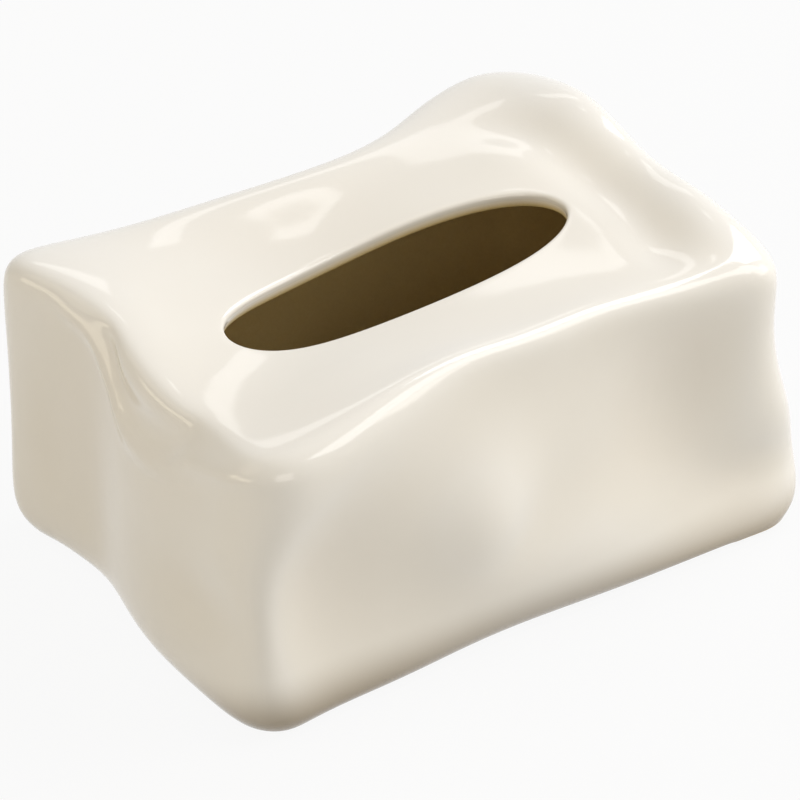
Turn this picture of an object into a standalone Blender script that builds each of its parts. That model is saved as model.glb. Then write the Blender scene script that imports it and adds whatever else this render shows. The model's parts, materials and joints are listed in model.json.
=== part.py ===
"""A wavy ceramic tissue box cover that stands on four small silicone pads.

Units are metres and +Z is up. +X runs along the cover's length and the front is towards -Y. The
origin is the middle of the footprint, on the surface that the cover stands on.

The casting starts as a plain rounded box with an oval slot in its top and a foot that curls under.
Soft swells then push its skin in and out, and the wall is thickened inwards from that skin.
"""

from dataclasses import dataclass
from math import cos, pi, radians, sin

import bmesh
import bpy
import numpy as np

# Plain box that the swells are laid on, over the outside of the casting
LENGTH = 0.212
WIDTH = 0.155
HEIGHT = 0.100
PLAN_CORNER = 0.022
WALL = 0.0055

# Rounded shoulder between the top and each wall: its reach over the top, its drop down the wall,
# and the rounding of the top's own corners inside it
LEFT_SHOULDER_REACH = 0.008
LEFT_SHOULDER_DROP = 0.009
RIGHT_SHOULDER_REACH = 0.022
RIGHT_SHOULDER_DROP = 0.015
FRONT_SHOULDER_REACH = 0.010
FRONT_SHOULDER_DROP = 0.010
BACK_SHOULDER_REACH = 0.012
BACK_SHOULDER_DROP = 0.010
CREST_CORNER = 0.010

# Foot: the wall tucks in over its last stretch and turns into a flat land all round
FOOT_TUCK = 0.009
FOOT_RISE = 0.013
LAND_WIDTH = 0.0075

# Slot in the top that the tissues are drawn through: how far its middle is off the box's middle, and
# how far it is turned in plan
SLOT_LENGTH = 0.119
SLOT_WIDTH = 0.0455
SLOT_SHIFT_X = -0.002
SLOT_SHIFT_Y = -0.0005
SLOT_TURN = radians(-2)

# Rounding of the lips at the slot and along the inside of the foot
LIP_ROUND = 0.0022

# Self-adhesive pads under the foot's land
PAD_DIAMETER = 0.005
PAD_THICKNESS = 0.0012
PAD_EDGE_ROUND = 0.0003
SEAT_GAP = 0.0003

# How far a swell reaches before it has mostly faded
FINE_REACH = 0.012
SLIM_REACH = 0.016
SMALL_REACH = 0.021
SHORT_REACH = 0.026
NARROW_REACH = 0.032
SOFT_REACH = 0.038
MIDDLE_REACH = 0.044
BROAD_REACH = 0.052
TALL_REACH = 0.090

# How far each swell pushes: hollows go inwards, bulges outwards, crests up and basins down
LEFT_END_HOLLOW = 0.0135
LEFT_END_TURN = 0.006
FRONT_LEFT_CORNER_BULGE = 0.004
FRONT_RIGHT_HOLLOW = 0.018
FRONT_FOOT_HOLLOW = 0.0115
RIGHT_FOOT_FLARE = 0.0075
RIGHT_WAIST = 0.0075
BACK_HOLLOW_LEAN = 0.0125
BACK_HOLLOW = 0.013
BACK_FOOT_HOLLOW = 0.0035
RIGHT_END_HOLLOW = 0.0045
LEFT_CREST = 0.0035
LEFT_SADDLE = 0.002
FRONT_LEFT_BASIN = 0.006
FRONT_RIGHT_BASIN = 0.0025
MIDDLE_BASIN = 0.0095
RIGHT_BASIN = 0.005
RIGHT_CREST_TUCK = 0.009
RIGHT_CREST = 0.02
RIGHT_FRONT_TUCK = 0.013
RIGHT_FRONT_CREST = 0.018
FRONT_CREST_TUCK = 0.015
FRONT_CREST = 0.0085
FRONT_LEFT_CREST = 0.004
BACK_LEFT_SAG = 0.0065
BACK_RIGHT_BULGE = 0.013
BACK_RIGHT_SAG = 0.007
FRONT_RIB = 0.012
FRONT_FOOT_RIDGE = 0.009
FRONT_RIGHT_FOOT_TUCK = 0.015
FRONT_RIGHT_DIMPLE = 0.003
FRONT_LEFT_DENT_LEAN = 0.008
FRONT_LEFT_DENT = 0.0125
LEFT_RIB = 0.002
LEFT_BACK_FLUTE = 0.006
LEFT_FRONT_DIMPLE = 0.005
LEFT_SHOULDER_TUCK = 0.004
LEFT_SHOULDER_DIP = 0.0025
RIGHT_CREST_RISE = 0.0025
NEAR_RIM_RISE = 0.002
FRONT_CREST_LIP = 0.0035
FRONT_CREST_LIP_SAG = 0.002
FRONT_LEFT_SHOULDER = 0.0045
FRONT_RIGHT_SHOULDER = 0.002

# The foot stays flat: upward and downward pushes fade in over this share of the height
FLAT_FOOT_SHARE = 0.35

# Fineness of the casting's skin
LONG_SIDE_STEPS = 19
SHORT_SIDE_STEPS = 13
CORNER_STEPS = 5
TOP_STEPS = 7
SHOULDER_STEPS = 5
WALL_STEPS = 9
FOOT_STEPS = 5
LAND_STEPS = 2
LIP_STEPS = 2
PAD_SIDES = 20
PAD_EDGE_STEPS = 2
SHARP_ANGLE = radians(50)

# The top's rings lie closer together at the slot
TOP_SPREAD_SHARE = 1.15

QUARTER_TURN = pi / 2
FOOT_LEVEL = PAD_THICKNESS + SEAT_GAP


@dataclass(frozen=True)
class Swell:
    """A soft push of the skin, strongest at its place and fading out around it."""

    place_shares: tuple[float, float, float]  # of half the length, half the width, the height
    reach: tuple[float, float, float]
    push: tuple[float, float, float]


WALL_SWELLS = (
    Swell((-1, 0.35, 0.45), (SOFT_REACH, NARROW_REACH, TALL_REACH), (LEFT_END_HOLLOW, 0, 0)),
    Swell((-1, -0.4, 0.15), (SOFT_REACH, NARROW_REACH, BROAD_REACH), (0, LEFT_END_TURN, 0)),
    Swell(
        (-0.95, -1, 0.25),
        (BROAD_REACH, MIDDLE_REACH, BROAD_REACH),
        (0, -FRONT_LEFT_CORNER_BULGE, 0),
    ),
    Swell((0.55, -1, 0.6), (SOFT_REACH, SOFT_REACH, SOFT_REACH), (0, FRONT_RIGHT_HOLLOW, 0)),
    Swell((-0.1, -1, 0.25), (BROAD_REACH, SOFT_REACH, NARROW_REACH), (0, FRONT_FOOT_HOLLOW, 0)),
    Swell((1, -0.9, 0.2), (MIDDLE_REACH, BROAD_REACH, NARROW_REACH), (RIGHT_FOOT_FLARE, 0, 0)),
    Swell((1, -0.85, 0.6), (SOFT_REACH, NARROW_REACH, MIDDLE_REACH), (-RIGHT_WAIST, 0, 0)),
    Swell(
        (0.2, 1, 0.9),
        (MIDDLE_REACH, SOFT_REACH, BROAD_REACH),
        (BACK_HOLLOW_LEAN, -BACK_HOLLOW, 0),
    ),
    Swell((-0.1, 1, 0.1), (MIDDLE_REACH, SOFT_REACH, BROAD_REACH), (0, -BACK_FOOT_HOLLOW, 0)),
    Swell((1, 0.05, 0.2), (SOFT_REACH, SOFT_REACH, MIDDLE_REACH), (-RIGHT_END_HOLLOW, 0, 0)),
    Swell((-0.2, -1, 0.5), (SLIM_REACH, NARROW_REACH, SLIM_REACH), (0, -FRONT_RIB, 0)),
    Swell((0.05, -1, 0.25), (SOFT_REACH, NARROW_REACH, FINE_REACH), (0, -FRONT_FOOT_RIDGE, 0)),
    Swell((0.8, -1, 0.2), (SHORT_REACH, NARROW_REACH, FINE_REACH), (0, FRONT_RIGHT_FOOT_TUCK, 0)),
    Swell((0.5, -1, 0.35), (SMALL_REACH, NARROW_REACH, SMALL_REACH), (0, FRONT_RIGHT_DIMPLE, 0)),
    Swell(
        (-0.7, -1, 0.45),
        (SHORT_REACH, NARROW_REACH, SOFT_REACH),
        (-FRONT_LEFT_DENT_LEAN, FRONT_LEFT_DENT, 0),
    ),
    Swell((-1, 0.15, 0.4), (NARROW_REACH, SLIM_REACH, MIDDLE_REACH), (-LEFT_RIB, 0, 0)),
    Swell((-1, 0.7, 0.35), (NARROW_REACH, FINE_REACH, SOFT_REACH), (LEFT_BACK_FLUTE, 0, 0)),
    Swell((-1, -0.65, 0.4), (NARROW_REACH, SMALL_REACH, FINE_REACH), (LEFT_FRONT_DIMPLE, 0, 0)),
    Swell(
        (-1, -0.35, 0.9),
        (NARROW_REACH, NARROW_REACH, SHORT_REACH),
        (LEFT_SHOULDER_TUCK, 0, -LEFT_SHOULDER_DIP),
    ),
    Swell((-0.7, -1, 0.85), (SHORT_REACH, SMALL_REACH, SLIM_REACH), (0, -FRONT_LEFT_SHOULDER, 0)),
    Swell((0.45, -1, 1.05), (SMALL_REACH, SMALL_REACH, FINE_REACH), (0, -FRONT_RIGHT_SHOULDER, 0)),
)

TOP_SWELLS = (
    Swell((-0.9, 0.5, 1), (SOFT_REACH, MIDDLE_REACH, MIDDLE_REACH), (0, 0, LEFT_CREST)),
    Swell((-1, -0.5, 1), (MIDDLE_REACH, SOFT_REACH, MIDDLE_REACH), (0, 0, -LEFT_SADDLE)),
    Swell((-0.55, -0.25, 1), (SOFT_REACH, SOFT_REACH, MIDDLE_REACH), (0, 0, -FRONT_LEFT_BASIN)),
    Swell((0.65, -0.3, 1), (MIDDLE_REACH, SOFT_REACH, MIDDLE_REACH), (0, 0, -FRONT_RIGHT_BASIN)),
    Swell((-0.2, 0.35, 1), (BROAD_REACH, MIDDLE_REACH, BROAD_REACH), (0, 0, -MIDDLE_BASIN)),
    Swell((0.9, 0.05, 1), (SHORT_REACH, SHORT_REACH, SOFT_REACH), (0, 0, -RIGHT_BASIN)),
    Swell(
        (1.25, 0.4, 1),
        (SOFT_REACH, NARROW_REACH, MIDDLE_REACH),
        (-RIGHT_CREST_TUCK, 0, RIGHT_CREST),
    ),
    Swell(
        (1.2, -0.35, 1),
        (MIDDLE_REACH, MIDDLE_REACH, MIDDLE_REACH),
        (-RIGHT_FRONT_TUCK, 0, RIGHT_FRONT_CREST),
    ),
    Swell(
        (-0.05, -1.15, 1),
        (BROAD_REACH, NARROW_REACH, SOFT_REACH),
        (0, FRONT_CREST_TUCK, FRONT_CREST),
    ),
    Swell((-0.55, -0.95, 1), (MIDDLE_REACH, SOFT_REACH, MIDDLE_REACH), (0, 0, FRONT_LEFT_CREST)),
    Swell((-0.55, 1.15, 1), (MIDDLE_REACH, SHORT_REACH, MIDDLE_REACH), (0, 0, -BACK_LEFT_SAG)),
    Swell(
        (0.6, 1.15, 1),
        (BROAD_REACH, SOFT_REACH, MIDDLE_REACH),
        (0, BACK_RIGHT_BULGE, -BACK_RIGHT_SAG),
    ),
    Swell((0.8, 0.4, 1), (SHORT_REACH, SMALL_REACH, NARROW_REACH), (0, 0, RIGHT_CREST_RISE)),
    Swell((-0.45, -0.5, 1), (SHORT_REACH, SLIM_REACH, NARROW_REACH), (0, 0, NEAR_RIM_RISE)),
    Swell(
        (0, -1, 1),
        (SMALL_REACH, SMALL_REACH, FINE_REACH),
        (0, -FRONT_CREST_LIP, -FRONT_CREST_LIP_SAG),
    ),
)


@dataclass(frozen=True)
class Rectangle:
    """A rectangle with rounded corners, in plan."""

    left: float
    right: float
    front: float
    back: float
    corner: float

    def corner_middles(self):
        """The middles of the four corner arcs, anticlockwise from the back right one."""
        left, right = self.left + self.corner, self.right - self.corner
        front, back = self.front + self.corner, self.back - self.corner
        return np.array([(right, back), (left, back), (left, front), (right, front)])

    def outline(self):
        """Points once round it, anticlockwise, and the outward direction at each of them."""
        points = []
        outward = []
        middles = self.corner_middles()
        for corner, middle in enumerate(middles):
            for step in range(CORNER_STEPS + 1):
                turn = QUARTER_TURN * (corner + step / CORNER_STEPS)
                direction = np.array([cos(turn), sin(turn)])
                points.append(middle + self.corner * direction)
                outward.append(direction)
            # The straight run from this corner to the next one
            run = middles[(corner + 1) % len(middles)] - middle
            side_steps = SHORT_SIDE_STEPS if corner % 2 else LONG_SIDE_STEPS
            start = points[-1]
            for step in range(1, side_steps):
                points.append(start + run * step / side_steps)
                outward.append(outward[-1])
        return np.array(points), np.array(outward)


WALL_PLAN = Rectangle(-LENGTH / 2, LENGTH / 2, -WIDTH / 2, WIDTH / 2, PLAN_CORNER)
CREST_PLAN = Rectangle(
    WALL_PLAN.left + LEFT_SHOULDER_REACH,
    WALL_PLAN.right - RIGHT_SHOULDER_REACH,
    WALL_PLAN.front + FRONT_SHOULDER_REACH,
    WALL_PLAN.back - BACK_SHOULDER_REACH,
    CREST_CORNER,
)


def shoulder_drop(outward):
    """How far the shoulder comes down each wall, blended round the corners."""
    along_x = np.where(outward[:, 0] < 0, LEFT_SHOULDER_DROP, RIGHT_SHOULDER_DROP)
    along_y = np.where(outward[:, 1] < 0, FRONT_SHOULDER_DROP, BACK_SHOULDER_DROP)
    return outward[:, 0] ** 2 * along_x + outward[:, 1] ** 2 * along_y


def ring(points, level):
    """Plan points lifted to a level, which may differ from point to point."""
    return np.column_stack([points, np.broadcast_to(level, len(points))])


def smooth(share):
    """A share from 0 to 1 that starts and ends level."""
    share = np.clip(share, 0, 1)
    return share**2 * (3 - 2 * share)


def plain_rings():
    """The plain box's skin as rings, from the slot down to the land, and how freely each may slide.

    A ring's freedom is the share of a sideways push that it takes. It is nothing at the slot, which
    stays a true oval in plan, and grows to the whole push at the shoulder.
    """
    wall, outward = WALL_PLAN.outline()
    crest, _ = CREST_PLAN.outline()
    drop = shoulder_drop(outward)
    angle = np.arctan2(wall[:, 1] / WIDTH, wall[:, 0] / LENGTH)
    along = SLOT_LENGTH / 2 * np.cos(angle)
    across = SLOT_WIDTH / 2 * np.sin(angle)
    slot_x = SLOT_SHIFT_X + along * cos(SLOT_TURN) - across * sin(SLOT_TURN)
    slot_y = SLOT_SHIFT_Y + along * sin(SLOT_TURN) + across * cos(SLOT_TURN)
    slot = np.column_stack([slot_x, slot_y])

    rings = []
    freedom_shares = []
    for step in range(TOP_STEPS):
        share = (step / TOP_STEPS) ** TOP_SPREAD_SHARE
        rings.append(ring(slot * (1 - share) + crest * share, HEIGHT))
        freedom_shares.append(smooth(step / TOP_STEPS))
    for step in range(SHOULDER_STEPS):
        turn = QUARTER_TURN * step / SHOULDER_STEPS
        points = crest + (wall - crest) * sin(turn)
        rings.append(ring(points, HEIGHT - drop * (1 - cos(turn))))
    for step in range(WALL_STEPS):
        share = step / WALL_STEPS
        rings.append(ring(wall, (HEIGHT - drop) * (1 - share) + (FOOT_LEVEL + FOOT_RISE) * share))
    for step in range(FOOT_STEPS):
        turn = QUARTER_TURN * step / FOOT_STEPS
        points = wall - outward * FOOT_TUCK * (1 - cos(turn))
        rings.append(ring(points, FOOT_LEVEL + FOOT_RISE * (1 - sin(turn))))
    for step in range(LAND_STEPS + 1):
        inset = FOOT_TUCK + LAND_WIDTH * step / LAND_STEPS
        rings.append(ring(wall - outward * inset, FOOT_LEVEL))
    freedom_shares += [1] * (len(rings) - len(freedom_shares))
    return np.array(rings), np.array(freedom_shares)


def swelled(places, freedom_shares):
    """The places after every swell has pushed them."""
    box = np.array([LENGTH / 2, WIDTH / 2, HEIGHT])
    total = np.zeros_like(places)
    for swell in WALL_SWELLS + TOP_SWELLS:
        middle = np.array(swell.place_shares) * box
        distance = (places - middle) / np.array(swell.reach)
        strength = np.exp(-(distance**2).sum(axis=-1))
        total += strength[..., None] * np.array(swell.push)
    total[..., 2] *= smooth((places[..., 2] - FOOT_LEVEL) / (FLAT_FOOT_SHARE * HEIGHT))
    total[..., :2] *= freedom_shares[:, None, None]
    return places + total


def footprint_middle(places):
    """The middle of the places' box in plan, as a shift with no height."""
    middle = (places.min(axis=(0, 1)) + places.max(axis=(0, 1))) / 2
    middle[2] = 0
    return middle


def sleeve(name, rings):
    """An open sleeve of faces through rings of equal count, facing outwards."""
    build = bmesh.new()
    loops = [[build.verts.new(place) for place in places] for places in rings]
    for inner, outer in zip(loops, loops[1:]):
        for index in range(len(inner)):
            after = (index + 1) % len(inner)
            build.faces.new((inner[index], outer[index], outer[after], inner[after]))
    mesh = bpy.data.meshes.new(name)
    build.to_mesh(mesh)
    build.free()
    return mesh


def finish(name, hex_colour, roughness, coat):
    """A Principled material from an sRGB colour written as hexadecimal."""
    channels = [int(hex_colour[start : start + 2], 16) / 255 for start in (0, 2, 4)]
    linear = [
        channel / 12.92 if channel <= 0.04045 else ((channel + 0.055) / 1.055) ** 2.4
        for channel in channels
    ]
    material = bpy.data.materials.new(name)
    material.use_nodes = True
    shader = material.node_tree.nodes["Principled BSDF"]
    shader.inputs["Base Color"].default_value = (*linear, 1)
    shader.inputs["Roughness"].default_value = roughness
    shader.inputs["Metallic"].default_value = 0
    shader.inputs["Coat Weight"].default_value = coat
    return material


def add_shell(collection, rings, material):
    """The glazed casting: its swelled skin, thickened inwards, with rounded lips."""
    mesh = sleeve("cover_shell", rings)
    mesh.materials.append(material)
    mesh.shade_smooth()
    shell = bpy.data.objects.new("cover_shell", mesh)
    collection.objects.link(shell)

    casting = shell.modifiers.new("Casting", "SOLIDIFY")
    casting.thickness = WALL
    casting.offset = -1
    lips = shell.modifiers.new("Lips", "BEVEL")
    lips.width = LIP_ROUND
    lips.segments = LIP_STEPS
    lips.limit_method = "ANGLE"
    lips.angle_limit = SHARP_ANGLE


def pad_places(shift):
    """Where each pad's middle lies: under the flat of the land, halfway round each corner."""
    names = ("back_right", "back_left", "front_left", "front_right")
    inset = FOOT_TUCK + (LAND_WIDTH - LIP_ROUND) / 2
    places = {}
    for corner, (name, middle) in enumerate(zip(names, WALL_PLAN.corner_middles())):
        turn = QUARTER_TURN * (corner + 1 / 2)
        point = middle + (PLAN_CORNER - inset) * np.array([cos(turn), sin(turn)])
        place = swelled(np.array([[[*point, FOOT_LEVEL]]]), np.ones(1))[0, 0] - shift
        place[2] = PAD_THICKNESS / 2
        places[name] = place
    return places


def add_pad(collection, name, place, material):
    """One round silicone pad, its rim softened."""
    bpy.ops.mesh.primitive_cylinder_add(
        vertices=PAD_SIDES,
        radius=PAD_DIAMETER / 2,
        depth=PAD_THICKNESS,
        location=place,
    )
    pad = bpy.context.object
    pad.name = f"foot_pad_{name}"
    pad.data.name = pad.name
    pad.data.materials.append(material)
    pad.data.shade_smooth()
    pad.data.set_sharp_from_angle(angle=SHARP_ANGLE)
    for holder in list(pad.users_collection):
        holder.objects.unlink(pad)
    collection.objects.link(pad)

    rim = pad.modifiers.new("Rim", "BEVEL")
    rim.width = PAD_EDGE_ROUND
    rim.segments = PAD_EDGE_STEPS
    rim.limit_method = "ANGLE"
    rim.angle_limit = SHARP_ANGLE


def main():
    """Clears the scene and builds the cover's pieces in their own collection."""
    for old in list(bpy.data.objects):
        bpy.data.objects.remove(old, do_unlink=True)
    collection = bpy.data.collections.new("Tissue box cover")
    bpy.context.scene.collection.children.link(collection)

    rings = swelled(*plain_rings())
    shift = footprint_middle(rings)
    glaze = finish("Cream glaze on stoneware", "EDE6DA", 0.18, 1)
    silicone = finish("Silicone rubber", "D8D5CE", 0.55, 0)
    add_shell(collection, rings - shift, glaze)
    for name, place in pad_places(shift).items():
        add_pad(collection, name, place, silicone)


if __name__ == "__main__":
    main()
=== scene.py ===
"""A wavy ceramic tissue box cover, glazed cream, on a pale studio floor.

Units are metres and +Z is up. +X runs along the cover's length and the front is towards -Y.

The casting is a plain rounded box with an oval slot in its top. Soft swells push its skin in and
out, the skin is smoothed as wet clay is with a sponge, and the wall is then thickened inwards. Its
edges are rounded at the slot and the foot, and fine creases are drawn on it as with a thumb. It is
glazed outside, bare clay inside and under the foot, and stands on four silicone pads.
"""

from __future__ import annotations

import json
import logging
from dataclasses import dataclass
from enum import Enum
from math import cos, pi, radians, sin
from typing import Any

import bpy
import numpy as np
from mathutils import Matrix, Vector

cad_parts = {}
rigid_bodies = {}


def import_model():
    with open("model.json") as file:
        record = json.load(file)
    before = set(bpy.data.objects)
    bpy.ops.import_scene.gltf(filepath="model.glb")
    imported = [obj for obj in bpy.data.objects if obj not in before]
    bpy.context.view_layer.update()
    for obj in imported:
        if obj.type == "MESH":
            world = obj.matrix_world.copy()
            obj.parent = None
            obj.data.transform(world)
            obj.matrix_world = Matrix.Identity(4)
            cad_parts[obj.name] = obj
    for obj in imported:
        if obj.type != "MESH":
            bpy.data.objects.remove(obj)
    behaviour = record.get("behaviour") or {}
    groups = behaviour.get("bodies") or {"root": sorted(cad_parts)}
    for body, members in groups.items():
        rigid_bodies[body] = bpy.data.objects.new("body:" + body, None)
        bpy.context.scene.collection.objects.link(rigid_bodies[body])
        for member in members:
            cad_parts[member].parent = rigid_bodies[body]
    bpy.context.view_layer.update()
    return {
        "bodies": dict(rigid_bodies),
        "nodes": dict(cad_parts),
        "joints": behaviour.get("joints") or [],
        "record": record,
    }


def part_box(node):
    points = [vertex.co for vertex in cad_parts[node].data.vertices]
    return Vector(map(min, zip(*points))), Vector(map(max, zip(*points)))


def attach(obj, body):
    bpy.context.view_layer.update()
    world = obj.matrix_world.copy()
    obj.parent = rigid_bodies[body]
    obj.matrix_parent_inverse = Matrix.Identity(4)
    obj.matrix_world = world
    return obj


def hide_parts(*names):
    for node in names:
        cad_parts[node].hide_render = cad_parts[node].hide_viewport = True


LOG = logging.getLogger("tissue_box_cover")

MM = 0.001
QUARTER_TURN = pi / 2
WORLD_BODY = "root"
WHITE = "FFFFFF"

# The kinds of node that the trees use most
MAP_RANGE = "ShaderNodeMapRange"
MATH = "ShaderNodeMath"
MIX = "ShaderNodeMix"
NAMED_ATTRIBUTE = "GeometryNodeInputNamedAttribute"
NOISE = "ShaderNodeTexNoise"
VECTOR_MATH = "ShaderNodeVectorMath"

# A noise seldom leaves this part of 0 to 1
NOISE_LOW, NOISE_HIGH = 0.3, 0.7

# What a tree that works on a shape takes first, and what it gives
SHAPE = {"Geometry": "Geometry"}

Point = tuple[float, float, float]
Material = bpy.types.Material
Node = bpy.types.Node
Object = bpy.types.Object
Socket = bpy.types.NodeSocket
Tree = bpy.types.NodeTree


def linear(hex_colour: str) -> tuple[float, float, float, float]:
    """Turns an sRGB colour into the linear colour that a shader socket takes.

    Args:
        hex_colour: The colour as six hexadecimal digits.

    Returns:
        Linear red, green and blue, and an alpha of 1.
    """
    channels = [int(hex_colour[start : start + 2], 16) / 255 for start in (0, 2, 4)]
    red, green, blue = (
        channel / 12.92 if channel <= 0.04045 else ((channel + 0.055) / 1.055) ** 2.4
        for channel in channels
    )
    return red, green, blue, 1.0


def add_node(
    tree: Tree, kind: str, inputs: dict[str | int, Any] | None = None, **settings: Any
) -> Node:
    """Adds a node with its settings, and sets or links its inputs.

    Args:
        tree: The shader or geometry tree that takes the node.
        kind: The node's type name.
        inputs: For each input, by name or number, a value, a socket, or a node that gives its
            first output in use.
        **settings: The node's own properties.

    Returns:
        The new node.
    """
    node = tree.nodes.new(kind)
    for name, value in settings.items():
        setattr(node, name, value)
    for key, value in (inputs or {}).items():
        if isinstance(value, Node):
            value = next(output for output in value.outputs if output.enabled)
        if isinstance(value, Socket):
            tree.links.new(value, node.inputs[key])
        else:
            node.inputs[key].default_value = value
    return node


def new_tree(name: str, inputs: dict[str, str], outputs: dict[str, str]) -> tuple[Tree, Any]:
    """Makes an empty geometry tree.

    Args:
        name: The tree's name.
        inputs: The kind of each named input.
        outputs: The kind of each named output.

    Returns:
        The tree, and its inputs as sockets.
    """
    tree = bpy.data.node_groups.new(name, "GeometryNodeTree")
    for side, sockets in (("INPUT", inputs), ("OUTPUT", outputs)):
        for label, kind in sockets.items():
            tree.interface.new_socket(label, in_out=side, socket_type=f"NodeSocket{kind}")
    return tree, add_node(tree, "NodeGroupInput").outputs


def end_tree(tree: Tree, shape: Node, finish: Socket) -> None:
    """Ends a geometry tree in realised instances that carry their material.

    Args:
        tree: The tree.
        shape: The node that gives the shape.
        finish: The material.
    """
    realised = add_node(tree, "GeometryNodeRealizeInstances", {"Geometry": shape})
    inputs = {"Geometry": realised, "Material": finish}
    dressed = add_node(tree, "GeometryNodeSetMaterial", inputs)
    add_node(tree, "NodeGroupOutput", {"Geometry": dressed})


def bell(tree: Tree, square: Node) -> Node:
    """The height of a soft bump, 1 at its middle, by the square of the distance from there."""
    negative = add_node(tree, MATH, {0: square, 1: -1.0}, operation="MULTIPLY")
    return add_node(tree, MATH, {0: negative}, operation="EXPONENT")


def axes(tree: Tree) -> Any:
    """The X, Y and Z sockets of each point's position in a geometry tree."""
    position = add_node(tree, "GeometryNodeInputPosition")
    return add_node(tree, "ShaderNodeSeparateXYZ", {0: position}).outputs


def new_material(name: str) -> tuple[Material, Tree]:
    """Makes an empty node material.

    Args:
        name: The real material's name.

    Returns:
        The material and its node tree.
    """
    material = bpy.data.materials.new(name)
    material.use_nodes = True
    material.node_tree.nodes.clear()
    return material, material.node_tree


def pattern_scale(size_mm: float) -> float:
    """The scale that gives a noise features of about this size."""
    return 1 / (size_mm * MM)


class SkinMark(Enum):
    """Names of the attributes that the casting's skin carries."""

    FREEDOM = "freedom"
    SOFTNESS = "softness"
    ROLLED = "bevel_weight_edge"  # the name that a Bevel modifier reads
    RELIEF = "relief"
    BARE = "bare"


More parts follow.
